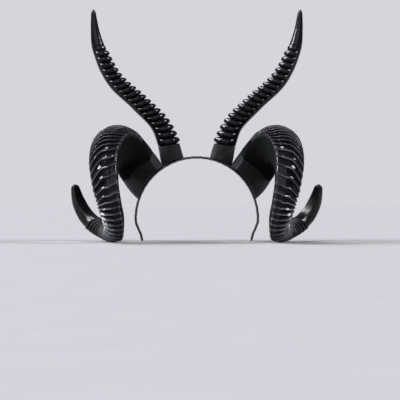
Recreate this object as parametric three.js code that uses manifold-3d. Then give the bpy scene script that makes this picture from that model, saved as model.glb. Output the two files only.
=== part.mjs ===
// A costume headband with four horns: a cloth-covered hoop that carries two tall ringed antelope horns near its
// crown and two curled ram horns at its sides, each seated in a felt cup.
// Millimetres. +Z is up, +Y is the way the wearer faces and +X is towards the wearer's right.
// The right-hand pieces are modelled, and the left-hand ones are the same geometry mirrored across X = 0.
import * as THREE from 'three';
import { mergeVertices } from 'three/addons/utils/BufferGeometryUtils.js';
import Module from 'manifold-3d';

const wasm = await Module();
wasm.setup();

// Hoop, measured over its cloth cover
const hoopWidth = 156;
const crownRise = 79; // from the widest level up to the top
const hoopThickness = 3.2;
const crownBand = 18; // width along Y at the crown
const tipBand = 11; // width along Y at the two ends
const legPinch = 8; // how far each leg comes in below the widest level
const hoopEdge = 1; // bevel along the hoop's edges
const archSteps = 33; // odd, so that a level facet lies at the crown
const legSteps = 6;

// Tall horns
const tallHeight = 186.5;
const tallSpread = 98; // from the foot out to the tip
const tallLean = 20; // how far the tip lies behind the foot
const tallGirth = 28; // diameter over the felt at the foot
const tallSeat = 67.4; // degrees round the hoop, up from its widest level
const tallRings = 19;
const tallRingsEnd = 0.81; // where the rings stop and the smooth tip begins, as a share of the length
const tallRingTaper = 0.04; // how much the spacing of the rings closes up towards the tip
const tallGroove = 0.15; // depth of the groove between two rings, as a share of the diameter
const tallRingLean = 0.5; // how much of the horn's slant the rings follow
const tallSides = 12;

// Ram horns
const curlRadius = 55;
const curlSpread = 93; // from the foot out to the tip
const ramDepth = 48; // the section at the foot, away from the axis of the curl
const ramWidth = 49; // the section at the foot, along that axis
const ramSeat = 39.5; // degrees round the hoop, up from its widest level
const ramRings = 34;
const ramRingsEnd = 0.86; // share of the length
const ramRingTaper = 0.3;
const ramGroove = 0.13; // share of the distance from the middle of the section
const ramRingSkew = 0.5; // how far a ring runs on along the horn for each millimetre away from the head
const ramSkewFull = 0.35; // share of the ringed length by which the rings have their whole skew
const ramSkewFades = 0.75; // and from which they lose it again

// Smooth ends of the horns
const tipLead = 3; // from the last ring to the tip's first row
const tallTipSteps = 5;
const ramTipSteps = 7;
const footSteps = 4;

// Felt cups
const feltThickness = 1.8;
const tallCupHeight = 21;
const ramCupHeight = 24;
const clearance = 0.3; // between pieces that touch
const rootDepth = 14; // how far a horn and its cup are drawn in below the hoop before the hoop trims them

const moulded = new THREE.MeshStandardMaterial({ name: 'gloss_black', color: 0x1a1b1e, roughness: 0.25 });
const felt = new THREE.MeshStandardMaterial({ name: 'black_felt', color: 0x232428, roughness: 0.95 });
const satin = new THREE.MeshStandardMaterial({ name: 'black_satin', color: 0x151518, roughness: 0.55 });

// The middle of a tall horn, as shares of tallHeight, tallSpread and tallGirth.
const tallStations = [
  { up: 0.0, out: 0.0, girth: 1.06 },
  { up: 0.13, out: 0.063, girth: 0.95 },
  { up: 0.24, out: 0.16, girth: 0.84 },
  { up: 0.38, out: 0.415, girth: 0.78 },
  { up: 0.52, out: 0.705, girth: 0.73 },
  { up: 0.61, out: 0.82, girth: 0.68 },
  { up: 0.7, out: 0.895, girth: 0.63 },
  { up: 0.77, out: 0.943, girth: 0.54 },
  { up: 0.86, out: 0.975, girth: 0.38 },
  { up: 0.98, out: 0.995, girth: 0.2 },
  { up: 1.0, out: 0.995, girth: 0.12 },
];

// The middle of a ram horn: degrees turned round the axis of the curl from straight ahead, then shares of
// curlRadius, curlSpread, ramDepth and ramWidth, and the degrees that the section rolls about the horn.
const ramStations = [
  { turn: 13.7, reach: 0.94, out: 0.0, deep: 1.1, wide: 0.95, roll: 96 },
  { turn: 30, reach: 1.03, out: 0.127, deep: 1.09, wide: 0.9, roll: 90 },
  { turn: 54, reach: 1.065, out: 0.272, deep: 1.03, wide: 0.88, roll: 68 },
  { turn: 82, reach: 1.0, out: 0.37, deep: 1.0, wide: 0.84, roll: 34 },
  { turn: 111, reach: 0.98, out: 0.46, deep: 0.97, wide: 0.81, roll: 10 },
  { turn: 144, reach: 0.99, out: 0.51, deep: 0.87, wide: 0.69, roll: 0 },
  { turn: 174, reach: 0.985, out: 0.495, deep: 0.77, wide: 0.62, roll: 0 },
  { turn: 204, reach: 0.94, out: 0.45, deep: 0.67, wide: 0.56, roll: 0 },
  { turn: 236, reach: 0.92, out: 0.41, deep: 0.57, wide: 0.5, roll: 0 },
  { turn: 265, reach: 0.97, out: 0.45, deep: 0.48, wide: 0.47, roll: 0 },
  { turn: 293, reach: 1.01, out: 0.59, deep: 0.42, wide: 0.4, roll: 0 },
  { turn: 314, reach: 1.05, out: 0.75, deep: 0.41, wide: 0.4, roll: 0 },
  { turn: 328, reach: 1.05, out: 0.86, deep: 0.39, wide: 0.38, roll: 0 },
  { turn: 345, reach: 1.03, out: 0.95, deep: 0.34, wide: 0.34, roll: 0 },
  { turn: 364, reach: 1.04, out: 1.0, deep: 0.2, wide: 0.2, roll: 0 },
  { turn: 366, reach: 1.04, out: 1.005, deep: 0.1, wide: 0.1, roll: 0 },
];

// A ram horn's section, as shares of its half depth and half width: a keel and a sharp corner on the outside
// of the curl, a flat smooth face towards the head and a round side away from it. Each corner takes its own
// share of the rings' relief.
const ramSection = [
  { reach: 1.0, side: -0.2, relief: 1 },
  { reach: 0.95, side: -0.6, relief: 0.8 },
  { reach: 0.88, side: -0.95, relief: 1 },
  { reach: 0.5, side: -1.0, relief: 0.3 },
  { reach: -0.2, side: -1.0, relief: 0 },
  { reach: -0.75, side: -0.9, relief: 0 },
  { reach: -1.0, side: -0.35, relief: 0.2 },
  { reach: -0.95, side: 0.25, relief: 0.6 },
  { reach: -0.65, side: 0.72, relief: 1 },
  { reach: -0.2, side: 0.97, relief: 1 },
  { reach: 0.36, side: 0.95, relief: 1 },
  { reach: 0.86, side: 0.48, relief: 1 },
];

// Across one ring, from groove to groove: where along it, and how far out of the groove. A tall horn's rings are
// rounded, and a ram horn's flare towards the tip and end in a step.
const tallProfile = [
  { along: 0.0, lift: 0 },
  { along: 0.22, lift: 0.9 },
  { along: 0.76, lift: 1 },
];
const ramProfile = [
  { along: 0.0, lift: 0 },
  { along: 0.55, lift: 0.35 },
  { along: 0.86, lift: 1 },
];

const radians = THREE.MathUtils.degToRad;
const backward = new THREE.Vector3(0, -1, 0);

// A closed skin over a row of rings with the same number of points, each anticlockwise about the way the row
// runs, with both ends closed by fans.
function loft(rings) {
  const sides = rings[0].length;
  const points = rings.flat();
  const index = [];
  for (let row = 0; row + 1 < rings.length; row += 1) {
    for (let side = 0; side < sides; side += 1) {
      const here = row * sides + side;
      const beside = row * sides + ((side + 1) % sides);
      index.push(here, beside, beside + sides, here, beside + sides, here + sides);
    }
  }
  const last = points.length - sides;
  const middles = [rings[0], rings.at(-1)].map((ring) =>
    ring.reduce((sum, point) => sum.add(point), new THREE.Vector3()).divideScalar(sides));
  points.push(...middles);
  for (let side = 0; side < sides; side += 1) {
    const next = (side + 1) % sides;
    index.push(next, side, points.length - 2);
    index.push(last + side, last + next, points.length - 1);
  }
  return new THREE.BufferGeometry().setFromPoints(points).setIndex(index);
}

function solidOf(geometry) {
  const bare = new THREE.BufferGeometry().setAttribute('position', geometry.getAttribute('position'));
  bare.setIndex(geometry.index);
  const merged = mergeVertices(bare, 1e-4);
  const mesh = { numProp: 3, vertProperties: merged.attributes.position.array, triVerts: merged.index.array };
  return new wasm.Manifold(new wasm.Mesh(mesh));
}

function geometryOf(solid) {
  const { vertProperties, triVerts } = solid.getMesh();
  const geometry = new THREE.BufferGeometry();
  geometry.setAttribute('position', new THREE.BufferAttribute(vertProperties, 3));
  return geometry.setIndex(new THREE.BufferAttribute(triVerts, 1));
}

// The hoop's outer side in its own plane: an arch of so many degrees from each side up to the crown.
function archPoint(degrees, outward = 0) {
  const angle = radians(degrees);
  const point = new THREE.Vector2(hoopWidth / 2 * Math.cos(angle), crownRise * Math.sin(angle));
  return point.addScaledVector(archNormal(degrees), outward);
}

function archNormal(degrees) {
  const angle = radians(degrees);
  return new THREE.Vector2(Math.cos(angle) / hoopWidth, Math.sin(angle) / (2 * crownRise)).normalize();
}

// A leg runs down from the widest level and comes in on an easy curve that ends plumb.
function legPoint(share, drop, outward = 0) {
  const pinch = legPinch * THREE.MathUtils.smoothstep(share, 0, 1);
  return new THREE.Vector2(hoopWidth / 2 - pinch + outward, -drop * share);
}

// From the end of the right leg over the crown to the end of the left leg.
function hoopOutline(drop, outward) {
  const leg = [];
  for (let step = legSteps; step > 0; step -= 1) leg.push(legPoint(step / legSteps, drop, outward));
  const arch = [];
  for (let step = 0; step <= archSteps; step += 1) arch.push(archPoint(180 * step / archSteps, outward));
  const otherLeg = leg.toReversed().map((point) => new THREE.Vector2(-point.x, point.y));
  return [...leg, ...arch, ...otherLeg];
}

// Everything inside the hoop's outer side, drawn along Y: what a horn's foot is trimmed by.
function saddle(outward) {
  const drop = curlRadius; // lower than any horn's foot
  const length = 4 * curlRadius; // past both sides of every horn's foot
  const shape = new THREE.Shape(hoopOutline(drop, outward));
  const block = new THREE.ExtrudeGeometry(shape, { depth: length, bevelEnabled: false });
  block.rotateX(Math.PI / 2).translate(0, length / 2, 0);
  return solidOf(block);
}

// A smooth line through a horn's stations, starting rootDepth below its foot, and the sizes that go with it.
function hornLine(seat, stations, placeOf, sizeOf) {
  const foot = archPoint(seat);
  const root = archPoint(seat, -rootDepth);
  const places = stations.map(placeOf).map((place) => place.add(new THREE.Vector3(foot.x, 0, foot.y)));
  const line = new THREE.CatmullRomCurve3([new THREE.Vector3(root.x, 0, root.y), ...places]);
  line.arcLengthDivisions = 600;
  const sizes = new THREE.CatmullRomCurve3([stations[0], ...stations].map(sizeOf), false, 'catmullrom');
  return { length: line.getLength(), at: (distance) => stationAt(line, sizes, distance) };
}

function stationAt(line, sizes, distance) {
  const share = line.getUtoTmapping(distance / line.getLength());
  return { middle: line.getPoint(share), along: line.getTangent(share), size: sizes.getPoint(share) };
}

// Where each ring's rows lie between two distances, with the spacing closing up by the taper.
function ringRows(profile, count, start, end, taper) {
  const placed = (share) => start + (end - start) * (share + taper * share * (1 - share));
  const rows = [];
  for (let ring = 0; ring < count; ring += 1) {
    for (const { along, lift } of profile) {
      rows.push({ distance: placed((ring + along) / count), lift });
    }
  }
  return [...rows, { distance: end, lift: 0 }];
}

function smoothRows(start, end, steps) {
  const rows = [];
  for (let step = 0; step <= steps; step += 1) {
    rows.push({ distance: start + (end - start) * step / steps, lift: 0 });
  }
  return rows;
}

const tallLine = hornLine(
  tallSeat,
  tallStations,
  ({ up, out }) => new THREE.Vector3(out * tallSpread, -tallLean * Math.sin(up * Math.PI / 2), up * tallHeight),
  ({ girth }) => new THREE.Vector3(girth * tallGirth, 0, 0),
);

// One ring of a tall horn, in a plane between level and square to the horn. A groove is cut towards the smooth
// outer edge, so it fades out there.
function tallRing({ distance, lift }, grooved, extra) {
  const { middle, along, size } = tallLine.at(distance);
  const up = new THREE.Vector3(0, 0, 1).lerp(along, tallRingLean).normalize();
  const outward = new THREE.Vector3().crossVectors(backward, up).negate().normalize();
  const forward = new THREE.Vector3().crossVectors(up, outward);
  const radius = size.x / 2 + extra;
  const stretch = radius / up.dot(along);
  const edge = middle.clone().addScaledVector(outward, stretch);
  const depth = grooved ? tallGroove * (1 - lift) : 0;
  const ring = [];
  for (let side = 0; side < tallSides; side += 1) {
    const angle = 2 * Math.PI * side / tallSides;
    const point = middle.clone().addScaledVector(outward, stretch * Math.cos(angle));
    ring.push(point.addScaledVector(forward, radius * Math.sin(angle)).lerp(edge, depth));
  }
  return ring;
}

const ramFoot = archPoint(ramSeat);
const curlMiddle = (({ turn, reach }) => new THREE.Vector3(
  0,
  -reach * curlRadius * Math.cos(radians(turn)),
  ramFoot.y - reach * curlRadius * Math.sin(radians(turn)),
))(ramStations[0]);

const ramLine = hornLine(
  ramSeat,
  ramStations,
  ({ turn, reach, out }) => new THREE.Vector3(
    out * curlSpread,
    curlMiddle.y + reach * curlRadius * Math.cos(radians(turn)),
    curlMiddle.z - ramFoot.y + reach * curlRadius * Math.sin(radians(turn)),
  ),
  ({ deep, wide, roll }) => new THREE.Vector3(deep * ramDepth, wide * ramWidth, roll),
);

// One ring of a ram horn: its section faces away from the curl's axis, apart from the roll, and runs on along
// the horn on the side away from the head.
function ramRing({ distance, lift, skew = 0 }, grooved, extra) {
  const { middle, along, size } = ramLine.at(distance);
  const outward = new THREE.Vector3(0, middle.y - curlMiddle.y, middle.z - curlMiddle.z);
  outward.addScaledVector(along, -outward.dot(along)).normalize().applyAxisAngle(along, radians(size.z));
  const sideways = new THREE.Vector3().crossVectors(outward, along);
  return ramSection.map(({ reach, side, relief }) => {
    const cut = grooved ? 1 - ramGroove * relief * (1 - lift) : 1;
    const sideStep = side * (size.y / 2 + extra) * cut;
    const point = middle.clone().addScaledVector(outward, reach * (size.x / 2 + extra) * cut);
    return point.addScaledVector(sideways, sideStep).addScaledVector(along, skew * sideStep);
  });
}

function tallHornGeometry() {
  const start = rootDepth + tallCupHeight + 2 * clearance;
  const end = tallRingsEnd * tallLine.length;
  const foot = footRows(tallCupHeight, clearance).map((row) => tallRing(row, false, -feltThickness - clearance));
  const rows = ringRows(tallProfile, tallRings, start, end, tallRingTaper);
  const ringed = rows.map((row) => tallRing(row, true, 0));
  const tip = smoothRows(end + tipLead, tallLine.length, tallTipSteps).map((row) => tallRing(row, false, 0));
  return loft([...foot, ...ringed, ...tip]);
}

function ramHornGeometry() {
  const start = rootDepth + ramCupHeight + 2 * clearance;
  const end = ramRingsEnd * ramLine.length;
  const skewed = (row) => ({ ...row, skew: ramRingSkew * skewShare((row.distance - start) / (end - start)) });
  const foot = footRows(ramCupHeight, clearance).map((row) => ramRing(row, false, -feltThickness - clearance));
  const rows = ringRows(ramProfile, ramRings, start, end, ramRingTaper);
  const ringed = rows.map((row) => ramRing(skewed(row), true, 0));
  const tip = smoothRows(end + tipLead, ramLine.length, ramTipSteps).map((row) => ramRing(row, false, 0));
  return loft([...foot, ...ringed, ...tip]);
}

// The rings run skew in the middle of the horn and square at its two ends.
function skewShare(share) {
  const { smoothstep } = THREE.MathUtils;
  return smoothstep(share, 0, ramSkewFull) * (1 - smoothstep(share, ramSkewFades, 1));
}

// The rows that a horn's foot and its cup share, from the root to the top of the cup and so far beyond it.
function footRows(cupHeight, beyond) {
  const top = rootDepth + cupHeight;
  const rows = smoothRows(0, top, footSteps);
  return beyond > 0 ? [...rows, { distance: top + beyond, lift: 0 }] : rows;
}

function sleeve(ringAt, cupHeight, extra, beyond) {
  return solidOf(loft(footRows(cupHeight, beyond).map((row) => ringAt(row, false, extra))));
}

// What a ram horn's foot and cup keep clear of: the tall horn's cup, grown by the offset.
function tallRoom(outward) {
  return sleeve(tallRing, tallCupHeight, outward, outward);
}

function trimmed(solid, limits, outward) {
  return limits.reduce((left, limit) => left.subtract(limit(outward)), solid);
}

// A horn trimmed to sit in the bottom of its cup.
function seated(hornGeometry, limits) {
  return geometryOf(trimmed(solidOf(hornGeometry), limits, 2 * clearance + feltThickness));
}

// A felt cup: the horn's own section, trimmed to the hoop and hollowed for the horn's thinner foot.
function cupGeometry(ringAt, height, limits) {
  const outside = trimmed(sleeve(ringAt, height, 0, 0), limits, clearance);
  const inside = trimmed(sleeve(ringAt, height, -feltThickness, feltThickness), limits, clearance + feltThickness);
  return geometryOf(outside.subtract(inside));
}

// The hoop: a bevelled strip round the outline, widest at the crown.
function hoopGeometry(drop) {
  const outer = hoopOutline(drop, 0);
  const inner = hoopOutline(drop, -hoopThickness);
  const rings = outer.map((point, step) => {
    const rise = THREE.MathUtils.clamp((point.y + drop) / (crownRise + drop), 0, 1);
    const half = THREE.MathUtils.lerp(tipBand, crownBand, THREE.MathUtils.smoothstep(rise, 0, 1)) / 2;
    const through = new THREE.Vector3(inner[step].x - point.x, 0, inner[step].y - point.y);
    const bevel = hoopEdge / hoopThickness;
    const corner = (y, share) => new THREE.Vector3(point.x, y, point.y).addScaledVector(through, share);
    return [
      corner(-half + hoopEdge, 0), corner(half - hoopEdge, 0), corner(half, bevel), corner(half, 1 - bevel),
      corner(half - hoopEdge, 1), corner(-half + hoopEdge, 1), corner(-half, 1 - bevel), corner(-half, bevel),
    ];
  });
  return loft(rings);
}

function addPair(group, name, geometry, material) {
  const right = new THREE.Mesh(geometry, material);
  right.name = `${name}_right`;
  const left = new THREE.Mesh(geometry, material);
  left.name = `${name}_left`;
  left.scale.x = -1;
  group.add(right, left);
}

const tallLimits = [saddle];
const ramLimits = [saddle, tallRoom];
const ramHorn = seated(ramHornGeometry(), ramLimits);
ramHorn.computeBoundingBox();

// The hoop's legs end level with the lowest point of the curls, so the headband stands on all four.
const legDrop = -ramHorn.boundingBox.min.z;

const pieces = new THREE.Group();
const hairBand = new THREE.Mesh(hoopGeometry(legDrop), satin);
hairBand.name = 'hair_band';
pieces.add(hairBand);
addPair(pieces, 'tall_horn', seated(tallHornGeometry(), tallLimits), moulded);
addPair(pieces, 'ram_horn', ramHorn, moulded);
addPair(pieces, 'tall_felt_cup', cupGeometry(tallRing, tallCupHeight, tallLimits), felt);
addPair(pieces, 'ram_felt_cup', cupGeometry(ramRing, ramCupHeight, ramLimits), felt);

// The origin is under the middle of the whole headband, on the surface that it stands on.
const box = new THREE.Box3().setFromObject(pieces);
pieces.position.set(0, -(box.min.y + box.max.y) / 2, legDrop);

const headband = new THREE.Group();
headband.add(pieces);
export default headband;
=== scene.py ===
# Ram horns headband for costume wear: a satin-bound hoop with two tall ringed horns near the crown and
# two curled ram horns at its sides, and felt wrapped round the foot of each. Shapes are worked out in
# millimetres from the middle of the hoop's widest level, and put into the model's frame in metres.
import math
import random

import bpy
import numpy as np
from mathutils import Euler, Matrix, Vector, noise


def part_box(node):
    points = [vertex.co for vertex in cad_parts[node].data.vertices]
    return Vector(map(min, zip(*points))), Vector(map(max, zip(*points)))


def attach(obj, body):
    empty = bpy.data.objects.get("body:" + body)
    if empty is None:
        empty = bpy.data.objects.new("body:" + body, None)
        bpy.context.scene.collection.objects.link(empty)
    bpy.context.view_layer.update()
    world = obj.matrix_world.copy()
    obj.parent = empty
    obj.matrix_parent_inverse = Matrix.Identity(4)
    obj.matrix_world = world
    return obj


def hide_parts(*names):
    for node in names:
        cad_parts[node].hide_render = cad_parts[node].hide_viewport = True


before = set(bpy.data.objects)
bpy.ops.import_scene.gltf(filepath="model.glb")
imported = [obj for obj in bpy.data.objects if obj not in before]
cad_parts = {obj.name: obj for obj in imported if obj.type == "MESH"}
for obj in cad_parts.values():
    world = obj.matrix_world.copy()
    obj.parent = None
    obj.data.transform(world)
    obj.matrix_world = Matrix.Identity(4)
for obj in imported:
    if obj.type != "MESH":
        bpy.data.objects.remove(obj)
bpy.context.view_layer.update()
print("frame loaded")

hoop = {
    "halfWidth": 78,
    "crownRise": 79,       # from the widest level to the top
    "thickness": 3.2,
    "crownBand": 18,       # width along Y at the crown
    "tipBand": 11,         # width along Y at the two ends
    "legPinch": 8,         # how far a leg bends in below the widest level
    "ribbonStep": 9.5,     # from one lap of the ribbon to the next
    "lapStep": 0.35,       # how far a lap stands over the one before it
    "sharpStep": 0.1,      # share of that step that drops at once
    "lapEdge": (0.05, 0.06),  # share of a lap at which it drops, and from which it slopes
    "squareness": (0.4, 0.5),  # of the section across and through the band: 1 is round
    "endRound": 1.2,
    "endThin": 0.6,        # how much thinner the ends get, as a share of their rounding
    "sharpFrom": 50,       # degrees: a sharper bend shows as an edge
    "rowEvery": 0.8,
    "columns": 44,
}

bandLow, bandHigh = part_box("hair_band")
hoopMiddle = np.array([0, (bandLow.y + bandHigh.y) / 2, bandHigh.z]) - [0, 0, hoop["crownRise"] / 1000]
legDrop = hoopMiddle[2] * 1000


# Mesh helpers

mergeWithin = 0.000002    # metres


def inFrame(places):
    return np.asarray(places, float) / 1000 + hoopMiddle


# A grid is added and wrapped round a form: its rows run along the form, and its two long edges meet and
# are merged.
def wrapGrid(name, places, marks=None, parts=None):
    rows, columns = places.shape[:2]
    bpy.ops.object.select_all(action="DESELECT")
    bpy.ops.mesh.primitive_grid_add(x_subdivisions=columns, y_subdivisions=rows - 1, size=1)
    piece = bpy.context.object
    piece.name = piece.data.name = name
    piece.data.vertices.foreach_set("co", inFrame(np.hstack([places, places[:, :1]])).ravel())
    for markName, values in (marks or {}).items():
        mark = piece.data.attributes.new(markName, "FLOAT", "POINT")
        mark.data.foreach_set("value", np.hstack([values, values[:, :1]]).astype(np.float32).ravel())
    if parts is not None:
        piece.data.polygons.foreach_set("material_index", parts[:-1].astype(np.int32).ravel())
    bpy.ops.object.mode_set(mode="EDIT")
    bpy.ops.mesh.select_all(action="SELECT")
    bpy.ops.mesh.remove_doubles(threshold=mergeWithin)
    bpy.ops.mesh.select_all(action="SELECT")
    bpy.ops.mesh.fill_holes(sides=0)
    bpy.ops.mesh.select_all(action="SELECT")
    bpy.ops.mesh.normals_make_consistent(inside=False)
    bpy.ops.object.mode_set(mode="OBJECT")
    return piece


def smoothSurface(piece, degrees):
    bpy.ops.object.select_all(action="DESELECT")
    piece.select_set(True)
    bpy.context.view_layer.objects.active = piece
    bpy.ops.object.shade_smooth_by_angle(angle=math.radians(degrees))


def unit(vectors):
    return vectors / np.linalg.norm(vectors, axis=-1, keepdims=True)


def smoothStep(value, low, high):
    share = np.clip((value - low) / (high - low), 0, 1)
    return share * share * (3 - 2 * share)


# Nothing below 0 and the value itself above, with a soft bend between.
def softHinge(value):
    return (value + np.sqrt(value**2 + 0.02)) / 2


# A smooth line through points, with so many places from each point to the next.
def smoothThrough(points, places, evenSteps):
    held = np.array(points, float)
    held = np.vstack([2 * held[0] - held[1], held, 2 * held[-1] - held[-2]])
    share = np.linspace(0, 1, places, endpoint=False)[:, None]
    line = []
    for at in range(1, len(held) - 2):
        before, start, end, after = held[at - 1:at + 3]
        if evenSteps:
            leave, arrive = (end - before) / 2, (after - start) / 2
        else:
            gaps = [np.linalg.norm(b - a) ** 0.5 for a, b in ((before, start), (start, end), (end, after))]
            first, middle, last = gaps
            leave = (start - before) / first - (end - before) / (first + middle) + (end - start) / middle
            arrive = (end - start) / middle - (after - start) / (middle + last) + (after - end) / last
            leave, arrive = leave * middle, arrive * middle
        line.append((2 * share**3 - 3 * share**2 + 1) * start + (share**3 - 2 * share**2 + share) * leave
                    + (3 * share**2 - 2 * share**3) * end + (share**3 - share**2) * arrive)
    return np.vstack([*line, held[-2:-1]])


def wander(x, y, z, seed):
    return noise.noise(Vector((x, y, z + 31.7 * seed)))


# The hoop's outer side as an arch, by degrees up from its widest level
def archPoint(degrees, outward=0.0):
    angle = math.radians(degrees)
    normal = np.array([math.cos(angle) / hoop["halfWidth"], 0, math.sin(angle) / hoop["crownRise"]])
    point = np.array([hoop["halfWidth"] * math.cos(angle), 0, hoop["crownRise"] * math.sin(angle)])
    return point + outward * normal / np.linalg.norm(normal)


def insideHoop(places, outward):
    across = places[..., 0] / (hoop["halfWidth"] + outward)
    return across**2 + (places[..., 2] / (hoop["crownRise"] + outward)) ** 2 < 1


# Horn lines: a smooth line through the horn's stations

rootDepth = 14            # how far below its foot the line starts, inside the hoop
footInset = -2.1          # how far a horn's foot lies inside its felt's outer side
footClear = 2.4           # how far a foot starts over the hoop, and stays off the tall horn's felt
aboveFelt = 0.6           # from the felt's top to the first ring


class HornLine:
    def __init__(self, seat, places, sizes):
        foot, steps = archPoint(seat), 60
        stations = [archPoint(seat, -rootDepth), *(foot + place for place in places)]
        self.places = smoothThrough(stations, steps, False)
        self.sizes = smoothThrough([sizes[0], *sizes], steps, True)
        gaps = np.linalg.norm(np.diff(self.places, axis=0), axis=1)
        self.run = np.concatenate([[0], np.cumsum(gaps)])
        self.length = self.run[-1]
        self.ways = unit(np.gradient(self.places, self.run, axis=0))

    def at(self, distance):
        def read(table):
            columns = [np.interp(distance, self.run, table[:, part]) for part in range(table.shape[1])]
            return np.stack(columns, axis=-1)
        return read(self.places), unit(read(self.ways)), read(self.sizes)


def eachColumn(distances, columns):
    return np.repeat(distances[:, None], columns, axis=1)


# Where each column of a horn or a cup comes out of the hoop
def footStart(surface, columns, top, outward):
    distances = np.linspace(0, top, 160)
    inside = insideHoop(surface(eachColumn(distances, columns)), outward)
    return np.array([distances[column.nonzero()[0][-1] if column.any() else 0] for column in inside.T])


def between(starts, tops, rows):
    return starts + (tops - starts) * np.linspace(0, 1, rows)[:, None]


# The rows of all rings: distance along the horn, place in the ring, share of the ringed length, and number
def ringedRows(horn, line, phases):
    start = rootDepth + horn["cup"] + aboveFelt
    end = horn["ringsEnd"] * line.length
    ring = np.arange(horn["rings"])[:, None] + phases
    along = np.linspace(0, 1, 2000)
    passed = np.cumsum(1 / np.interp(along, *zip(*horn["ringGaps"])))
    passed = (passed - passed[0]) / (passed[-1] - passed[0])
    share = np.interp(ring.ravel() / horn["rings"], passed, along)
    return start + (end - start) * share, np.tile(phases, horn["rings"]), share, ring.ravel().astype(int)


# The rows of the tip: share of its length, distance along the horn, and how full the blunt end is there
def tipRows(horn, line, start):
    run = np.linspace(0.004, 1, horn["tipRows"]) ** 0.9
    distance = start + (line.length - start) * run
    fromEnd = np.clip((line.length - distance) / horn["blunt"], 0, 1)
    return run, distance, np.sqrt(np.clip(1 - (1 - fromEnd) ** 2, 0, 1))


# A mark over a whole horn: 0 on the foot, as given on the rings, and by rows on the tip
def hornMark(foot, ringed, tip):
    return np.vstack([np.zeros(foot.shape[:2]), ringed, tip * np.ones(foot.shape[1])])


# Tall horns

tallHorn = {
    "height": 186.5,
    "spread": 98,
    "lean": 20,            # how far the tip lies behind the foot
    "girth": 28,
    "seat": 67.4,          # degrees round the hoop
    "rings": 19,
    "ringsEnd": 0.81,      # share of the length
    "ringGaps": [(0, 1.04), (1, 0.96)],  # share of the ringed length, and how wide the rings are there
    "ringRound": (2.3, 0.75),  # how broad a ring's back is, and how steep its flanks
    "groove": 0.2,         # share of the radius, on the sides
    "innerGroove": 0.3,    # and on the inner side
    "innerEnds": (80, 180),  # degrees from the outer edge over which the one turns into the other
    "grooveEnds": (48, 78),  # degrees from the outer edge over which the grooves come up to nothing
    "ringRise": 1.6,       # how far a ring stands over the smooth strip along the outer edge
    "ringEnds": (38, 80),  # and over these degrees it rounds off to the strip
    "shallower": (0.3, 0.85),  # of the last grooves: by which share, and from where on
    "lowerFrom": 0.9,      # and from here on the last rings stand less far out
    "uneven": 0.2,         # how much one groove differs from the next
    "swell": 0.22,         # how far the surface strays
    "stripRelief": 0.3,    # the strip's tone and gloss, as between groove and crest: its darker tone is painted shade
    "ringLean": 0.5,
    "blunt": 2.2,          # length of the rounded end of the tip
    "cup": 21,             # height of the felt
    "sharpFrom": 60,
    "columns": 56,
    "rowsInRing": 14,
    "footRows": 7,
    "tipRows": 40,
    # up, out and girth, as shares of height, spread and girth
    "stations": [(0, 0, 1.06), (0.13, 0.063, 0.95), (0.24, 0.16, 0.84), (0.38, 0.415, 0.78),
                 (0.52, 0.705, 0.73), (0.61, 0.82, 0.68), (0.7, 0.895, 0.63), (0.77, 0.943, 0.54),
                 (0.86, 0.975, 0.38), (0.98, 0.995, 0.2), (1, 0.995, 0.12)],
}


def tallPlace(up, out):
    lean = -tallHorn["lean"] * math.sin(up * math.pi / 2)
    return np.array([out * tallHorn["spread"], lean, up * tallHorn["height"]])


tallLine = HornLine(
    tallHorn["seat"],
    [tallPlace(up, out) for up, out, _ in tallHorn["stations"]],
    [(girth * tallHorn["girth"],) for _, _, girth in tallHorn["stations"]],
)
tallAngles = np.linspace(0, 2 * math.pi, tallHorn["columns"], endpoint=False)


# Rings lie between level and square to the horn.
def tallSurface(distance, cut=0.0, extra=0.0):
    middle, along, size = tallLine.at(distance)
    up = unit((1 - tallHorn["ringLean"]) * np.array([0, 0, 1]) + tallHorn["ringLean"] * along)
    outward = unit(np.cross(up, [0, -1, 0]))
    forward = np.cross(up, outward)
    radius = size / 2 + np.asarray(extra)[..., None] * np.ones_like(size)
    stretch = radius / (up * along).sum(-1, keepdims=True)
    around = outward * stretch * np.cos(tallAngles)[:, None] + forward * radius * np.sin(tallAngles)[:, None]
    return middle + around * (1 - np.asarray(cut)[..., None])


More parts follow.
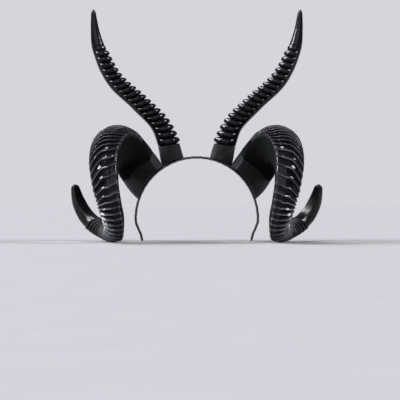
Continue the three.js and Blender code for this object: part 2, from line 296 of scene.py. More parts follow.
def tallHornPiece(side, name):
    columns = tallHorn["columns"]
    phases = np.linspace(0, 1, tallHorn["rowsInRing"], endpoint=False)
    distance, phase, share, ring = ringedRows(tallHorn, tallLine, phases)
    fromEdge = np.degrees(np.abs((tallAngles + math.pi) % (2 * math.pi) - math.pi))
    back, flank = tallHorn["ringRound"]
    lift = (1 - np.abs(2 * phase - 1) ** back) ** flank
    reach = smoothStep(fromEdge, *tallHorn["grooveEnds"])
    inside = smoothStep(fromEdge, *tallHorn["innerEnds"])
    groove = reach * (tallHorn["groove"] + (tallHorn["innerGroove"] - tallHorn["groove"]) * inside)
    less, lessFrom = tallHorn["shallower"]
    depth = ((1 - lift) * (1 - less * smoothStep(share, lessFrom, 1)))[:, None] * groove
    depth *= np.array([1 + tallHorn["uneven"] * wander(number * 3.1, side, 0, 1) for number in ring])[:, None]
    ringed = smoothStep(fromEdge, *tallHorn["ringEnds"])
    swell = np.array([[tallHorn["swell"] * wander(4 * math.cos(a) + 9, 4 * math.sin(a), d / 22, side)
                       for a in tallAngles] for d in distance])
    swell += ((lift * (1 - smoothStep(share, tallHorn["lowerFrom"], 1)))[:, None]
              * (tallHorn["ringRise"] * np.sin(ringed * math.pi / 2)))
    body = tallSurface(eachColumn(distance, columns), depth, swell)

    top = rootDepth + tallHorn["cup"]
    starts = footStart(lambda d: tallSurface(d, extra=footInset), columns, top, footClear)
    foot = tallSurface(between(starts, top, tallHorn["footRows"]), extra=footInset)

    _, tipAt, full = tipRows(tallHorn, tallLine, distance[-1])
    radius = tallLine.at(tipAt)[2][:, 0] / 2
    tip = tallSurface(eachColumn(tipAt, columns), extra=(radius * (full - 1))[:, None])

    # grooves and the outer strip get a darker colour from the relief mark as painted shade, and the grooves a
    # duller finish
    relief = 1 - (1 - lift[:, None]) * reach - (1 - tallHorn["stripRelief"]) * (1 - ringed)
    relief = hornMark(foot, relief, np.ones((len(tip), 1)))
    places = np.vstack([foot, body, tip]) * [side, 1, 1]
    piece = wrapGrid(name, places, {"relief": relief})
    smoothSurface(piece, tallHorn["sharpFrom"])
    return piece


# Ram horns

ramHorn = {
    "radius": 55,
    "spread": 93,
    "depth": 48,           # the section away from the axis of the curl
    "width": 49,           # and along it
    "seat": 39.5,
    "rings": 41,
    "ringsEnd": 0.835,
    "ringGaps": [(0, 1.15), (0.17, 1.05), (0.24, 0.88), (0.38, 0.88), (0.43, 1.3), (0.53, 1.3), (0.56, 1),
                 (0.62, 1), (0.66, 1.15), (0.74, 1.3), (0.82, 0.95), (1, 1)],
    # where the rows of one plate lie, closer together at its lip
    "phases": [0, 0.05, 0.12, 0.2, 0.3, 0.4, 0.5, 0.6, 0.68, 0.75, 0.8, 0.84, 0.88, 0.91, 0.94, 0.97],

    # plates and ribs
    "groove": 0.1,         # share of the distance from the middle of the section
    "sideGroove": 0.15,    # on the side away from the wearer
    "sideGrooveFrom": ((-0.3, 0.3), (-0.95, -0.3)),  # over this part of the side, and of the reach
    "outermost": (0.5, 0.8),  # it is less by this share on the outermost part, from here on
    "uneven": 0.28,        # how much one step differs from the next
    "lipAt": 0.84,         # where along a plate its lip is highest
    "lipShare": 0.66,      # how much of a plate's height is in its lip
    "lipEnd": 0.1,         # the step down takes this share of a plate
    "lipDrop": 0.6,        # how full it is: 1 is a straight slope
    "roundedSwell": 2.4,   # how quickly a rounded plate swells
    "roundedFrom": (0.6, 0.97),  # over this part of the outer side plates lose their lip and swell
    "ribbed": (0.5, 0.64),  # over this share of the ringed length plates turn into narrow ribs
    "ribSharp": 1.7,       # 1 is a plain ridge, and more is narrower
    "lowerRelief": 1.2,    # how much stronger the ribs are on the lower half
    "lowerFrom": (0.47, 0.76),
    "lastRise": 1.1,       # how far the last ribs stand over the claw
    "lastFrom": (0.89, 0.98),
    "allRound": (0.7, 0.84),  # over this share of the ringed length ribs come to run all round
    # towards the crown plates fade out: where the surface faces it by so much, up to this share
    "crownFades": [((0.1, 0.6), (0.06, 0.16)), ((0.72, 0.92), (0.14, 0.27))],
    "followsFelt": 0.25,   # up to this share the rings follow the felt's slanting top
    "waver": 0.7,          # how far a ring strays from its line
    "waverFrom": (0.03, 0.13),

    # the strip between keel and corner
    "stripFrom": (0.85, -0.25),  # its reach is more, and its side less
    "stripRelief": 0.5,    # what is left there of the ribs
    "channel": 0.035,      # how far it is sunk
    "channelAt": -0.58,
    "channelWidth": 0.17,

    # how rings run on along the horn, away from the keel
    "sideSkew": 1.15,      # down the outer side: how steeply, and from which share of the half width
    "sideSkewFrom": 0.22,
    "stripSkew": 0.45,     # and up across the strip
    "stripSkewFrom": 0.2,
    "skewFull": 0.42,      # share of the ringed length
    "skewFades": (0.47, 0.66),
    "midSkew": -0.05,      # what it fades to
    "endSkew": 0.4,        # of the last rib and the claw's foot
    "endTilt": 0.3,        # and how far the curl's inner side lags there
    "endSkewFrom": 0.82,

    # what the materials show of it
    "plateShine": (0.1, 1.2, 0.7),  # how soon a plate comes out of the groove's painted shade and dull finish: start, gain and bend
    "ribShine": 2.4,       # the same on a rib
    "undercoat": (-0.6, 0.74),  # the flat face: its side and reach are less
    "bareUpTo": (0.16, -0.2),  # and so is the foot up to this share, where it faces the crown by so much
    # painted highlight: a pale tone painted along the lips and the sharp corner stands in for the light they
    # catch
    "crestWidth": 0.07,    # how far the painted highlight along a lip reaches, as a share of a plate
    "ribWider": 0.8,       # and how much wider it is on a rib
    "fullHighlightStep": 0.12,      # a step this deep gets the full painted highlight
    "paintedHighlight": 0.8,           # how strongly lips get it
    "ribHighlight": 0.5,        # how much more ribs get
    "endHighlight": -0.3,       # and the last ribs
    "stripHighlight": 0.5,      # what is left of it on the strip
    "topHighlight": 0.6,        # how much more the first plates get it
    "topUpTo": (0.22, 0.38),
    "corner": (0.86, -0.95),  # the sharp corner's reach and side
    "cornerHighlight": 0.9,
    "cornerWidth": 0.07,
    "cornerLeast": 0.3,    # how much of it the corner keeps between lips
    "cornerFrom": (0.1, 0.18),
    "cornerUpTo": (0.4, 0.75),

    # claw
    "clawRidge": 162,      # degrees round the section to the claw's ridge
    "clawFlatness": 1.15,  # 2 is round and 1 is flat between the ridges
    "clawSize": 1.04,
    "clawFrom": 0.3,       # share of the tip over which the section turns into the claw's
    "clawGloss": 0.05,     # and over which its finish changes
    "blunt": 4,

    "cup": 24,
    "cupShift": -1,        # the top of the felt: everywhere,
    "cupLean": 6,          # towards the crown,
    "cupBulge": 7,         # and on the faces between
    "sharpFrom": 50,
    "keelColumns": 18,
    "roundColumns": 62,
    "footRows": 8,
    "tipRows": 44,
    # turn round the curl, then reach, out, deep and wide as shares, and roll of the section in degrees
    "stations": [(13.7, 0.94, 0, 1.1, 0.95, 96), (30, 1.03, 0.127, 1.09, 0.9, 90),
                 (54, 1.065, 0.272, 1.03, 0.88, 68), (82, 1, 0.37, 1, 0.84, 34),
                 (111, 0.98, 0.46, 0.97, 0.81, 10), (144, 0.99, 0.51, 0.87, 0.69, 0),
                 (174, 0.985, 0.495, 0.77, 0.62, 0),
                 (204, 0.94, 0.45, 0.67, 0.56, 0), (236, 0.92, 0.41, 0.57, 0.5, 0),
                 (265, 0.97, 0.45, 0.48, 0.47, 0), (293, 1.01, 0.59, 0.42, 0.4, 0),
                 (314, 1.05, 0.75, 0.41, 0.4, 0), (328, 1.05, 0.86, 0.39, 0.38, 0),
                 (345, 1.03, 0.95, 0.34, 0.34, 0), (364, 1.04, 1, 0.2, 0.2, 0),
                 (366, 1.04, 1.005, 0.1, 0.1, 0)],
    # the section's reach, side and share of the relief: from the keel to the sharp corner, and on round
    "keelStrip": [(1, -0.2, 1), (0.95, -0.6, 0.75), (0.88, -0.95, 1)],
    "roundSide": [(0.88, -0.95, 1), (0.7, -0.985, 0.2), (0.5, -1, 0.03), (0.3, -1, 0), (-0.2, -1, 0),
                  (-0.75, -0.9, 0), (-1, -0.35, 0.2), (-0.95, 0.25, 0.6), (-0.65, 0.72, 1), (-0.2, 0.97, 1),
                  (0.36, 0.95, 1), (0.86, 0.48, 1), (1, -0.2, 1)],
}


def evenly(line, count):
    run = np.concatenate([[0], np.cumsum(np.linalg.norm(np.diff(line[:, :2], axis=0), axis=1))])
    wanted = np.linspace(0, run[-1], count, endpoint=False)
    return np.stack([np.interp(wanted, run, line[:, part]) for part in range(line.shape[1])], axis=1)


ramSection = np.vstack([
    evenly(smoothThrough(ramHorn["keelStrip"], 20, False), ramHorn["keelColumns"]),
    evenly(smoothThrough(ramHorn["roundSide"], 20, False), ramHorn["roundColumns"]),
])
# The claw's section has four blunt ridges with flatter faces between.
clawAngles = np.arctan2(ramSection[:, 1], ramSection[:, 0])
fromRidge = clawAngles - math.radians(ramHorn["clawRidge"])
power = ramHorn["clawFlatness"]
clawReach = (np.abs(np.cos(fromRidge)) ** power + np.abs(np.sin(fromRidge)) ** power) ** (-1 / power)
clawReach = ramHorn["clawSize"] * clawReach
clawSection = np.stack([np.cos(clawAngles), np.sin(clawAngles)], axis=1) * clawReach[:, None]
ramFoot = archPoint(ramHorn["seat"])
firstTurn, firstReach = math.radians(ramHorn["stations"][0][0]), ramHorn["stations"][0][1] * ramHorn["radius"]
curlMiddle = np.array([0, -firstReach * math.cos(firstTurn), ramFoot[2] - firstReach * math.sin(firstTurn)])


def curlPlace(turn, reach, out):
    angle, reach = math.radians(turn), reach * ramHorn["radius"]
    return np.array([out * ramHorn["spread"], curlMiddle[1] + reach * math.cos(angle),
                     curlMiddle[2] - ramFoot[2] + reach * math.sin(angle)])


ramLine = HornLine(
    ramHorn["seat"],
    [curlPlace(*station[:3]) for station in ramHorn["stations"]],
    [(deep * ramHorn["depth"], wide * ramHorn["width"], roll)
     for *_, deep, wide, roll in ramHorn["stations"]],
)


# The section faces away from the curl's axis, apart from the roll. Rings run on along the horn by the skew.
def ramSurface(distance, cut=1.0, extra=0.0, skew=0.0, claw=0.0):
    middle, along, size = ramLine.at(distance)
    outward = (middle - curlMiddle) * [0, 1, 1]
    outward = unit(outward - along * (outward * along).sum(-1, keepdims=True))
    roll = np.radians(size[..., 2:3])
    outward = outward * np.cos(roll) + np.cross(along, outward) * np.sin(roll)
    sideways = np.cross(outward, along)
    grow = np.asarray(extra)
    claw = np.asarray(claw)[..., None]
    section = (1 - claw) * ramSection[:, :2] + claw * clawSection
    reach = section[..., 0] * (size[..., 0] / 2 + grow) * cut
    aside = section[..., 1] * (size[..., 1] / 2 + grow) * cut
    place = middle + outward * reach[..., None] + sideways * aside[..., None]
    return place + along * (np.asarray(skew) * size[..., 1] / 2)[..., None]


# Directions round the section: 1 where it faces the crown of the hoop, and -1 on the side away from it
def towardsCrown(places, middle):
    crownWay = unit(np.array([-0.75, 0, 0.66]))
    return unit(places - middle) @ crownWay


# The felt reaches higher on the side towards the crown than below, and bulges over the faces between.
def ramCupTops():
    top = rootDepth + ramHorn["cup"]
    facing = towardsCrown(ramSurface(np.full(len(ramSection), top)), ramLine.at(top)[0])
    return top + ramHorn["cupShift"] + ramHorn["cupLean"] * facing + ramHorn["cupBulge"] * (1 - facing**2)


# A plate rises slowly, turns out into a lip at its lower end, and drops there in a step. Where it is
# rounded, it swells quickly instead, and where it is ribbed, it is a narrow ridge.
def plateLift(phase, rounded, ribbed):
    rise = np.clip(phase / ramHorn["lipAt"], 0, 1)
    lip = (1 - ramHorn["lipShare"]) * rise + ramHorn["lipShare"] * rise**5
    rise = (1 - rounded) * lip + rounded * (1 - (1 - rise) ** ramHorn["roundedSwell"])
    plate = rise * np.clip((1 - phase) / ramHorn["lipEnd"], 0, 1) ** ramHorn["lipDrop"]
    fromCrest = np.abs((phase - ramHorn["lipAt"] + 0.5) % 1 - 0.5)
    return (1 - ribbed) * plate + ribbed * (1 - 2 * fromCrest) ** ramHorn["ribSharp"]


def keepOffTallCup(places, gap):
    cup = np.linspace(0, rootDepth + tallHorn["cup"] + gap, 60)
    middle, _, size = tallLine.at(cup)
    away = places[..., None, :] - middle
    distance = np.linalg.norm(away, axis=-1)
    nearest = distance.argmin(-1)
    room = size[nearest, 0] / 2 + gap
    far = np.take_along_axis(distance, nearest[..., None], -1)[..., 0]
    push = np.clip(room - far, 0, None)
    way = np.take_along_axis(away, nearest[..., None, None], -2)[..., 0, :] / far[..., None]
    return places + way * push[..., None]


# How strongly each place on the rings gets a painted highlight: a pale tone painted along the lips and along
# the sharp corner
def ramPaintedHighlight(phase, share, lift, depth, strip, ribbed, late):
    width = ramHorn["crestWidth"] * (1 + ramHorn["ribWider"] * ribbed)
    paintedHighlight = np.exp(-(((phase - ramHorn["lipAt"]) / width) ** 2)) * np.clip(depth / ramHorn["fullHighlightStep"], 0, 1)
    paintedHighlight *= 1 - (1 - ramHorn["stripHighlight"]) * strip * (1 - ribbed)
    paintedHighlight *= ramHorn["paintedHighlight"] + ramHorn["ribHighlight"] * ribbed + ramHorn["endHighlight"] * late
    paintedHighlight *= 1 + ramHorn["topHighlight"] * (1 - smoothStep(share, *ramHorn["topUpTo"]))
    fromCorner = np.linalg.norm(ramSection[:, :2] - ramHorn["corner"], axis=1)
    corner = ramHorn["cornerHighlight"] * np.exp(-((fromCorner / ramHorn["cornerWidth"]) ** 2))
    corner = corner * (ramHorn["cornerLeast"] + (1 - ramHorn["cornerLeast"]) * lift)
    corner *= smoothStep(share, *ramHorn["cornerFrom"]) * (1 - smoothStep(share, *ramHorn["cornerUpTo"]))
    return np.maximum(paintedHighlight, corner)


def ramHornPiece(side, name):
    distance, phase, share, ring = ringedRows(ramHorn, ramLine, np.array(ramHorn["phases"]))
    distance, phase, share = distance[:, None], phase[:, None], share[:, None]
    columns = len(ramSection)
    reach, aside, relief = ramSection.T
    stripReach, stripSide = ramHorn["stripFrom"]
    strip = (reach > stripReach) & (aside < stripSide)
    relief = relief + (1 - relief) * smoothStep(share, *ramHorn["allRound"])
    ribbed = smoothStep(share, *ramHorn["ribbed"])
    late = smoothStep(share, ramHorn["endSkewFrom"], 1)
    lift = plateLift(phase, smoothStep(aside, *ramHorn["roundedFrom"]), ribbed)

    tops = ramCupTops()
    follow = 1 - smoothStep(share, 0, ramHorn["followsFelt"])
    rows = distance + (tops - rootDepth - ramHorn["cup"]) * follow
    facing = towardsCrown(ramSurface(rows), ramLine.at(rows)[0])

    overSide, overReach = ramHorn["sideGrooveFrom"]
    less, lessFrom = ramHorn["outermost"]
    outerSide = smoothStep(aside, *overSide) * smoothStep(reach, *overReach)
    outerSide = outerSide * (1 - less * smoothStep(aside, lessFrom, 1))
    uneven = np.array([1 + ramHorn["uneven"] * wander(number * 2.7, side * 0.6, 0, 2) for number in ring])
    groove = ramHorn["groove"] + (ramHorn["sideGroove"] - ramHorn["groove"]) * outerSide
    depth = uneven[:, None] * relief * groove
    depth *= 1 + ramHorn["lowerRelief"] * smoothStep(share, *ramHorn["lowerFrom"])
    depth *= 1 - (1 - ramHorn["stripRelief"]) * strip * ribbed
    for faced, upTo in ramHorn["crownFades"]:
        depth = depth * (1 - smoothStep(facing, *faced) * (1 - smoothStep(share, *upTo)))
    channel = np.exp(-(((aside - ramHorn["channelAt"]) / ramHorn["channelWidth"]) ** 2))
    channel = ramHorn["channel"] * channel * (reach > stripReach)

    wave = np.array([[wander(3 * across, 3 * high, d / 9, side + 3) for high, across in ramSection[:, :2]]
                     for d in distance[:, 0]])
    rows = rows + ramHorn["waver"] * (smoothStep(share, *ramHorn["waverFrom"]) * (0.5 + 0.5 * share)) * wave
    early = smoothStep(share, 0, ramHorn["skewFull"])
    fade = smoothStep(share, *ramHorn["skewFades"])
    skew = ramHorn["sideSkew"] * softHinge(aside - ramHorn["sideSkewFrom"])
    skew = skew - ramHorn["stripSkew"] * softHinge(-aside - ramHorn["stripSkewFrom"])
    endSkew = ramHorn["endSkew"] * aside + ramHorn["endTilt"] * reach
    skew = early * (1 - fade) * skew + fade * (ramHorn["midSkew"] * (1 - late) * aside + endSkew * late)
    rise = ramHorn["lastRise"] * smoothStep(share, *ramHorn["lastFrom"]) * lift * relief
    body = ramSurface(rows, 1 - channel - depth * (1 - lift), rise, skew)

    starts = footStart(lambda d: ramSurface(d, extra=footInset), columns, tops.min(), footClear)
    foot = ramSurface(between(starts, tops, ramHorn["footRows"]), extra=footInset)
    foot = keepOffTallCup(foot, footClear)

    tipRun, tipAt, full = tipRows(ramHorn, ramLine, distance[-1, 0])
    claw = smoothStep(tipRun, 0, ramHorn["clawFrom"])[:, None]
    tip = ramSurface(eachColumn(tipAt, columns), full[:, None] - (1 - claw) * channel,
                     skew=(1 - claw) * endSkew, claw=claw)

    start, gain, bend = ramHorn["plateShine"]
    shine = (1 - ribbed) * np.minimum(1, start + gain * lift**bend) + ribbed * lift ** ramHorn["ribShine"]
    # relief paints the grooves darker as painted shade and makes them duller; crest paints a pale tone along
    # the lips and the sharp corner as a painted highlight
    paintedHighlight = ramPaintedHighlight(phase, share, lift, depth, strip, ribbed, late)
    marks = {
        "relief": hornMark(foot, 1 - relief * (1 - shine), np.ones((len(tip), 1))),
        "crest": hornMark(foot, paintedHighlight, np.zeros((len(tip), 1))),
        "claw": hornMark(foot, np.zeros(paintedHighlight.shape), smoothStep(tipRun, 0, ramHorn["clawGloss"])[:, None]),
    }
    places = np.vstack([foot, body, tip]) * [side, 1, 1]
    faceSide, faceReach = ramHorn["undercoat"]
    bareShare, bareFacing = ramHorn["bareUpTo"]
    parts = np.zeros(places.shape[:2])
    parts[:-len(tip), (aside < faceSide) & (reach < faceReach)] = 1
    parts[len(foot):-len(tip)][(share < bareShare) & (facing > bareFacing)] = 1
    piece = wrapGrid(name, places, marks, parts)
    smoothSurface(piece, ramHorn["sharpFrom"])
    return piece


# Felt cups

feltCup = {
    "thickness": 1.6,
    "inset": 0.3,          # how far its outer side lies in from the horn's own girth
    "seat": 0.15,          # how far over the hoop it starts
    "gap": 0.35,           # from the neighbouring cup
    "topDrop": 0.3,
    "ragged": 0.5,         # how far the cut top edge wanders
    "crease": 0.35,
    "overlap": 0.9,        # the wrap's end lies over its start
    "overlapWidth": 0.22,  # and thins out over this share of the way round
    "tallLap": {"right": 44, "left": 20},  # the column of the overlap's edge
    "ramLap": 30,
    "edgeRound": 0.45,     # how far the cut edge turns in
    "edgeFrom": 0.965,     # share of the height
    "sharpFrom": 50,
    "rows": 30,
    "fibres": 46,
    "fibreLength": 2.6,
    "fibreRadius": 0.09,
    "fibreSpread": 0.9,    # how far fibres lean from straight out
    "fibreRoot": 0.35,     # the middle of a fibre stands this share of its length off the edge
}


def feltCupPiece(side, name, surface, tops, lapColumn, guard):
    columns = len(tops)
    starts = footStart(lambda d: surface(d, 0.0), columns, tops.min(), feltCup["seat"])
    column = np.arange(columns)
    ragged = np.array([wander(c * 0.31, 0, 0, side + 5) + 0.6 * wander(c * 1.3, 4, 0, side + 5)
                       for c in column])
    ragged *= feltCup["ragged"] * np.sin(np.pi * column / columns) ** 0.3
    shares = np.linspace(0, 1, feltCup["rows"])[:, None]
    distance = starts + (tops + ragged - feltCup["topDrop"] - starts) * shares
    past = (lapColumn - column) % columns / columns
    lap = feltCup["overlap"] * (1 - smoothStep(past, 0, feltCup["overlapWidth"]))
    crease = np.array([[feltCup["crease"] * wander(c * 22 / columns, s * 1.4, 2, side + 7) for c in column]
                       for s in shares[:, 0]])
    edge = feltCup["edgeRound"] * smoothStep(shares, feltCup["edgeFrom"], 1)
    places = surface(distance, lap + crease - edge - feltCup["inset"])
    if guard:
        places = keepOffTallCup(places, feltCup["gap"])
    places[..., 0] *= side
    topEdge = inFrame(places[-1])
    piece = wrapGrid(name, places)
    bpy.ops.object.mode_set(mode="EDIT")
    bpy.ops.mesh.select_all(action="DESELECT")
    bpy.ops.object.mode_set(mode="OBJECT")
    for face in piece.data.polygons:
        face.select = len(face.vertices) > 4
    bpy.ops.object.mode_set(mode="EDIT")
    bpy.ops.mesh.delete(type="FACE")
    bpy.ops.object.mode_set(mode="OBJECT")
    wall = piece.modifiers.new("wall", "SOLIDIFY")
    wall.thickness = feltCup["thickness"] / 1000
    wall.offset = -1
    bpy.ops.object.modifier_apply(modifier=wall.name)
    smoothSurface(piece, feltCup["sharpFrom"])
    return piece, topEdge


# Loose fibres stand out of the cut edge.
def addFibres(piece, topEdge, seed):
    draw = random.Random(seed)
    middle = topEdge.mean(axis=0)
    bpy.ops.object.select_all(action="DESELECT")
    bpy.context.view_layer.objects.active = piece
    piece.select_set(True)
    bpy.ops.object.mode_set(mode="EDIT")
    for _ in range(feltCup["fibres"]):
        at = Vector(topEdge[draw.randrange(len(topEdge))])
        out = (at - Vector(middle)).normalized()
        lean = Vector([draw.uniform(-feltCup["fibreSpread"], feltCup["fibreSpread"]) for _ in range(3)])
        way = (out + lean).normalized()
        length = feltCup["fibreLength"] / 1000 * draw.uniform(0.4, 1)
        bpy.ops.mesh.primitive_cone_add(vertices=3, radius1=feltCup["fibreRadius"] / 1000, depth=length,
                                        location=at + way * length * feltCup["fibreRoot"],
                                        rotation=way.to_track_quat("Z", "Y").to_euler())
    bpy.ops.object.mode_set(mode="OBJECT")


# Hoop

def hoopRun():
    steps = np.linspace(1, 0, 60, endpoint=False)
    pinch = hoop["legPinch"] * smoothStep(steps, 0, 1)
    leg = np.stack([hoop["halfWidth"] - pinch, -legDrop * steps], axis=1)
    arch = np.array([archPoint(degrees)[[0, 2]] for degrees in np.linspace(0, 180, 361)])
    line = np.vstack([leg, arch, leg[::-1] * [-1, 1]])
    run = np.concatenate([[0], np.cumsum(np.linalg.norm(np.diff(line, axis=0), axis=1))])
    wanted = np.linspace(0, run[-1], int(run[-1] / hoop["rowEvery"]))
    line = np.stack([np.interp(wanted, run, line[:, part]) for part in (0, 1)], axis=1)
    return line, wanted


def hoopPiece(name):
    line, run = hoopRun()
    way = unit(np.gradient(line, axis=0))
    out = np.stack([way[:, 1], -way[:, 0]], axis=1)
    around = np.arange(hoop["columns"]) / hoop["columns"]
    angle = 2 * math.pi * around
    flatPower, throughPower = hoop["squareness"]
    flat = np.sign(np.cos(angle)) * np.abs(np.cos(angle)) ** flatPower
    through = np.sign(np.sin(angle)) * np.abs(np.sin(angle)) ** throughPower
    rise = np.clip((line[:, 1] + legDrop) / (hoop["crownRise"] + legDrop), 0, 1)
    half = (hoop["tipBand"] + (hoop["crownBand"] - hoop["tipBand"]) * smoothStep(rise, 0, 1)) / 2
    fromEnd = np.minimum(run, run[-1] - run)
    bend = np.clip(1 - fromEnd / hoop["endRound"], 0, 1)
    inset = hoop["endRound"] * (1 - np.sqrt(1 - bend**2))
    lap = (run[:, None] / hoop["ribbonStep"] - around) % 1
    drop, slope = hoop["lapEdge"]
    sink = smoothStep(lap, slope, 1) * (1 - hoop["sharpStep"]) + hoop["sharpStep"] * (lap > drop)
    sink = hoop["lapStep"] * sink + hoop["endThin"] * inset[:, None]
    thick = hoop["thickness"] / 2
    across = (half - inset)[:, None] * flat - 0.5 * sink * flat
    deep = -thick + (thick - sink) * through
    places = np.stack([line[:, :1] + out[:, :1] * deep, across, line[:, 1:] + out[:, 1:] * deep], axis=-1)
    piece = wrapGrid(name, places)
    smoothSurface(piece, hoop["sharpFrom"])
    return piece, run[-1]


# Materials

def linear(hexText):
    parts = [int(hexText[i:i + 2], 16) / 255 for i in (1, 3, 5)]
    return (*[p / 12.92 if p <= 0.04045 else ((p + 0.055) / 1.055) ** 2.4 for p in parts], 1)


def addNode(tree, kind, settings=None, links=None, stops=None):
    node = tree.nodes.new(kind)
    for key, value in (settings or {}).items():
        if isinstance(key, int) or key in node.inputs:
            node.inputs[key].default_value = value
        else:
            setattr(node, key, value)
    for key, source in (links or {}).items():
        tree.links.new(source, node.inputs[key])
    for count, (share, colour) in enumerate(stops or []):
        stop = node.color_ramp.elements[count] if count < 2 else node.color_ramp.elements.new(share)
        stop.position, stop.color = share, linear(colour)
    return node


def startMaterial(name, settings):
    material = bpy.data.materials.new(name)
    material.use_nodes = True
    tree = material.node_tree
    shader = tree.nodes["Principled BSDF"]
    for key, value in settings.items():
        shader.inputs[key].default_value = value
    return material, tree, shader


# Polyurethane foam under a brushed black gloss coat: it mirrors the room softly, and stays duller in the
# grooves. The grooves are also painted darker as painted shade, and a pale tone along the lips is a painted
# highlight.
def glossCoat():
    material, tree, shader = startMaterial("glossBlackCoat", {"Specular IOR Level": 0.14, "IOR": 1.5})
    place = addNode(tree, "ShaderNodeTexCoord").outputs["Object"]
    relief = addNode(tree, "ShaderNodeAttribute", {"attribute_name": "relief"}).outputs["Fac"]
    cloud = addNode(tree, "ShaderNodeTexNoise", {"Scale": 90, "Detail": 4, "Roughness": 0.6},
                    {"Vector": place})
    grain = addNode(tree, "ShaderNodeTexNoise", {"Scale": 900, "Detail": 3, "Roughness": 0.55},
                    {"Vector": place})
    crest = addNode(tree, "ShaderNodeAttribute", {"attribute_name": "crest"}).outputs["Fac"]
    claw = addNode(tree, "ShaderNodeAttribute", {"attribute_name": "claw"}).outputs["Fac"]
    # painted shade: the colour runs from near black in the grooves to a lighter black on the crests, by the
    # relief mark
    tone = addNode(tree, "ShaderNodeValToRGB", None, {"Fac": relief},
                   [(0, "#020303"), (0.3, "#08090b"), (1, "#101114")])
    mottle = addNode(tree, "ShaderNodeMapRange",
                     {"From Min": 0.3, "From Max": 0.7, "To Min": 0.75, "To Max": 1.2},
                     {"Value": cloud.outputs["Fac"]})
    colour = addNode(tree, "ShaderNodeVectorMath", {"operation": "SCALE"},
                     {0: tone.outputs["Color"], "Scale": mottle.outputs["Result"]})
    clawTone = addNode(tree, "ShaderNodeMix", {"data_type": "RGBA", 7: linear("#020304")},
                       {"Factor": claw, 6: colour.outputs["Vector"]})
    # painted highlight: where the crest mark is, a pale grey is mixed into the colour, broken up by the cloud
    patchyHighlight = addNode(tree, "ShaderNodeMapRange",
                      {"From Min": 0.35, "From Max": 0.65, "To Min": 0.4, "To Max": 1.2},
                      {"Value": cloud.outputs["Fac"]})
    highlightAmount = addNode(tree, "ShaderNodeMath", {"operation": "MULTIPLY", "use_clamp": True},
                   {0: crest, 1: patchyHighlight.outputs["Result"]})
    highlightTone = addNode(tree, "ShaderNodeMix", {"data_type": "RGBA", 7: linear("#56585e")},
                     {"Factor": highlightAmount.outputs["Value"], 6: clawTone.outputs[2]})
    tree.links.new(highlightTone.outputs[2], shader.inputs["Base Color"])
    groove = addNode(tree, "ShaderNodeMapRange",
                     {"From Min": 0, "From Max": 0.3, "To Min": 0.9, "To Max": 0.09}, {"Value": relief})
    dull = addNode(tree, "ShaderNodeMath", {"operation": "MULTIPLY_ADD", 1: 0.22},
                   {0: claw, 2: groove.outputs["Result"]})
    patchy = addNode(tree, "ShaderNodeMath", {"operation": "MULTIPLY_ADD", 1: 0.12, 2: -0.05},
                     {0: cloud.outputs["Fac"]})
    rough = addNode(tree, "ShaderNodeMath", {"operation": "ADD"},
                    {0: dull.outputs["Value"], 1: patchy.outputs["Value"]})
    tree.links.new(rough.outputs["Value"], shader.inputs["Roughness"])
    low = addNode(tree, "ShaderNodeBump", {"Strength": 0.5, "Distance": 0.0006},
                  {"Height": cloud.outputs["Fac"]})
    fine = addNode(tree, "ShaderNodeBump", {"Strength": 0.3, "Distance": 0.00012},
                   {"Height": grain.outputs["Fac"], "Normal": low.outputs["Normal"]})
    tree.links.new(fine.outputs["Normal"], shader.inputs["Normal"])
    return material


# The same foam under a flat black undercoat only, on the flat inner face: deep black with hardly a sheen.
def flatUndercoat():
    material, tree, shader = startMaterial("flatBlackUndercoat",
                                           {"Specular IOR Level": 0.04, "Roughness": 0.8})
    place = addNode(tree, "ShaderNodeTexCoord").outputs["Object"]
    cloud = addNode(tree, "ShaderNodeTexNoise", {"Scale": 60, "Detail": 5, "Roughness": 0.6},
                    {"Vector": place})
    grain = addNode(tree, "ShaderNodeTexNoise", {"Scale": 1100, "Detail": 3}, {"Vector": place})
    tone = addNode(tree, "ShaderNodeValToRGB", None, {"Fac": cloud.outputs["Fac"]},
                   [(0.3, "#040606"), (0.7, "#090b0c")])
    tree.links.new(tone.outputs["Color"], shader.inputs["Base Color"])
    low = addNode(tree, "ShaderNodeBump", {"Strength": 0.5, "Distance": 0.0008},
                  {"Height": cloud.outputs["Fac"]})
    fine = addNode(tree, "ShaderNodeBump", {"Strength": 0.35, "Distance": 0.00015},
                   {"Height": grain.outputs["Fac"], "Normal": low.outputs["Normal"]})
    tree.links.new(fine.outputs["Normal"], shader.inputs["Normal"])
    return material


# Craft felt, 1.6 mm: matted fibres with no sheen but a dusty rim of loose ends.
def feltCloth():
    material, tree, shader = startMaterial("blackCraftFelt", {
        "Roughness": 0.95, "Specular IOR Level": 0.15, "Sheen Weight": 0.12, "Sheen Roughness": 0.6,
        "Sheen Tint": linear("#b8bcc6")})
    place = addNode(tree, "ShaderNodeTexCoord").outputs["Object"]
    # fibres are about 0.03 mm thick: the tangle is drawn at 0.5 mm, so that it shows
    tangle = addNode(tree, "ShaderNodeTexNoise",
                     {"Scale": 1400, "Detail": 4, "Roughness": 0.7, "Distortion": 1.5}, {"Vector": place})
    clump = addNode(tree, "ShaderNodeTexNoise", {"Scale": 260, "Detail": 3, "Roughness": 0.6},
                    {"Vector": place})
    both = addNode(tree, "ShaderNodeMath", {"operation": "MULTIPLY_ADD", 1: 0.55},
                   {0: tangle.outputs["Fac"], 2: clump.outputs["Fac"]})
    tone = addNode(tree, "ShaderNodeValToRGB", None, {"Fac": both.outputs["Value"]},
                   [(0.55, "#050606"), (0.75, "#0a0b0c"), (1, "#131417")])
    tree.links.new(tone.outputs["Color"], shader.inputs["Base Color"])
    bump = addNode(tree, "ShaderNodeBump", {"Strength": 0.8, "Distance": 0.0004},
                   {"Height": both.outputs["Value"]})
    tree.links.new(bump.outputs["Normal"], shader.inputs["Normal"])
    return material


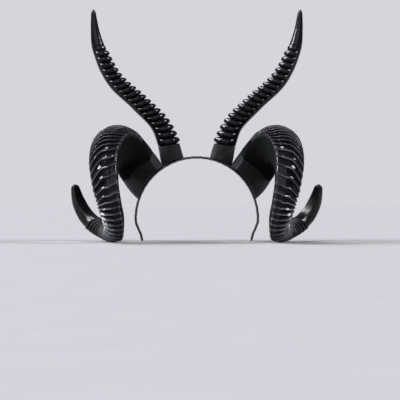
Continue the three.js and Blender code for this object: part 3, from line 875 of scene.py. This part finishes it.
# Polyester satin ribbon, 12 mm wide: long floats that shine across the weave.
def satinRibbon(length):
    material, tree, shader = startMaterial("blackSatinRibbon", {
        "Roughness": 0.42, "Specular IOR Level": 0.45, "Sheen Weight": 0.15, "Sheen Roughness": 0.4})
    spread = addNode(tree, "ShaderNodeTexCoord").outputs["UV"]
    place = addNode(tree, "ShaderNodeMapping", {"Scale": (38, length, 1)}, {"Vector": spread})
    # floats are 0.1 mm apart: drawn 0.6 mm apart, so that they show
    floats = addNode(tree, "ShaderNodeTexWave", {"Scale": 0.55, "Distortion": 1.2, "Detail": 2,
                                                 "bands_direction": "X"}, {"Vector": place.outputs["Vector"]})
    cloud = addNode(tree, "ShaderNodeTexNoise", {"Scale": 0.35, "Detail": 3},
                    {"Vector": place.outputs["Vector"]})
    tone = addNode(tree, "ShaderNodeValToRGB", None, {"Fac": floats.outputs["Fac"]},
                   [(0, "#08080a"), (1, "#151518")])
    tree.links.new(tone.outputs["Color"], shader.inputs["Base Color"])
    rough = addNode(tree, "ShaderNodeMapRange", {"To Min": 0.34, "To Max": 0.5},
                    {"Value": cloud.outputs["Fac"]})
    tree.links.new(rough.outputs["Result"], shader.inputs["Roughness"])
    low = addNode(tree, "ShaderNodeBump", {"Strength": 0.4, "Distance": 0.0004},
                  {"Height": cloud.outputs["Fac"]})
    bump = addNode(tree, "ShaderNodeBump", {"Strength": 0.35, "Distance": 0.0001},
                   {"Height": floats.outputs["Fac"], "Normal": low.outputs["Normal"]})
    tree.links.new(bump.outputs["Normal"], shader.inputs["Normal"])
    return material


gloss, undercoat, felt = glossCoat(), flatUndercoat(), feltCloth()
print("materials ready")


def place(piece, node, slotName, *materials):
    for material in materials:
        piece.data.materials.append(material)
    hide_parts(node)
    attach(piece, "root")


for side, word in ((1, "right"), (-1, "left")):
    place(tallHornPiece(side, f"tallHorn_{word}"), f"tall_horn_{word}", "gloss_black_horn", gloss)
    place(ramHornPiece(side, f"ramHorn_{word}"), f"ram_horn_{word}", "gloss_black_horn", gloss, undercoat)
    print("horns made:", word)

    cup, topEdge = feltCupPiece(side, f"tallFeltCup_{word}", lambda d, grow: tallSurface(d, extra=grow),
                                np.full(tallHorn["columns"], rootDepth + tallHorn["cup"]),
                                feltCup["tallLap"][word], False)
    addFibres(cup, topEdge, 11 + side)
    place(cup, f"tall_felt_cup_{word}", "black_felt", felt)
    cup, topEdge = feltCupPiece(side, f"ramFeltCup_{word}", lambda d, grow: ramSurface(d, extra=grow),
                                ramCupTops(), feltCup["ramLap"], True)
    addFibres(cup, topEdge, 21 + side)
    place(cup, f"ram_felt_cup_{word}", "black_felt", felt)
    print("felt cups made:", word)

band, bandLength = hoopPiece("hairBand")
place(band, "hair_band", "black_satin", satinRibbon(bandLength))
print("hoop made")


# Studio: a pale table that runs on into a room of the same tone, a bright light from the upper left, a
# smaller one from the right, two from above and beyond, and a broad weak one from behind the camera. They
# are suns, so that the table is as bright far off as near.

studio = {
    "paper": "#68676b",
    "paperLight": "#6a696d",
    "room": "#d6d5dc",
    "roomLight": 0.15,     # how bright the room is to everything but the camera
    "lights": {            # towards the light, its width in degrees and its strength
        "leftLight": ((-0.79, -0.18, 0.59), 27, 8.5),
        "rightLight": ((0.76, -0.18, 0.62), 21, 5),
        "highLight": ((-0.32, 0.12, 0.94), 20, 3),
        "farLight": ((-0.5, 0.41, 0.77), 20, 3.5),
        "frontLight": ((-0.1, -1, 0.3), 60, 1.4),
    },
    "tableRadius": 9,
    "tableDrop": 0.0003,   # how far the table lies under the hoop's ends
    "cameraShift": (0.004, -1.6, 0.0242),  # metres from the middle of the hoop's widest level
    "lens": 115.2,
    "sensor": 36,
}

for name, (towards, width, strength) in studio["lights"].items():
    light = bpy.data.objects.new(name, bpy.data.lights.new(name, "SUN"))
    bpy.context.scene.collection.objects.link(light)
    light.data.angle, light.data.energy = math.radians(width), strength
    light.location = towards
    light.rotation_euler = Vector(towards).to_track_quat("Z", "Y").to_euler()

bpy.ops.object.select_all(action="DESELECT")
bpy.ops.mesh.primitive_circle_add(vertices=96, radius=studio["tableRadius"], fill_type="NGON",
                                  location=(0, 0, -studio["tableDrop"]))
table = bpy.context.object
table.name = "table"
paper, paperTree, paperShader = startMaterial("palePaper", {"Roughness": 0.9, "Specular IOR Level": 0.1})
paperGrain = addNode(paperTree, "ShaderNodeTexNoise", {"Scale": 25, "Detail": 4},
                     {"Vector": addNode(paperTree, "ShaderNodeTexCoord").outputs["Object"]})
paperTone = addNode(paperTree, "ShaderNodeValToRGB", None, {"Fac": paperGrain.outputs["Fac"]},
                    [(0.3, studio["paper"]), (0.7, studio["paperLight"])])
paperTree.links.new(paperTone.outputs["Color"], paperShader.inputs["Base Color"])
table.data.materials.append(paper)

room = bpy.data.worlds.new("paleRoom")
room.use_nodes = True
backdrop = room.node_tree.nodes["Background"]
backdrop.inputs["Color"].default_value = linear(studio["room"])
seen = addNode(room.node_tree, "ShaderNodeLightPath").outputs["Is Camera Ray"]
brightness = addNode(room.node_tree, "ShaderNodeMapRange", {"To Min": studio["roomLight"]}, {"Value": seen})
room.node_tree.links.new(brightness.outputs["Result"], backdrop.inputs["Strength"])
bpy.context.scene.world = room
bpy.context.scene.view_settings.view_transform = "Standard"

camera = bpy.data.objects.new("camera", bpy.data.cameras.new("camera"))
bpy.context.scene.collection.objects.link(camera)
camera.location = hoopMiddle + studio["cameraShift"]
camera.rotation_euler = Euler((math.radians(90), 0, 0))
camera.data.lens, camera.data.sensor_width = studio["lens"], studio["sensor"]
camera.data.clip_start, camera.data.clip_end = 0.05, 50
bpy.context.scene.camera = camera
print("studio ready")
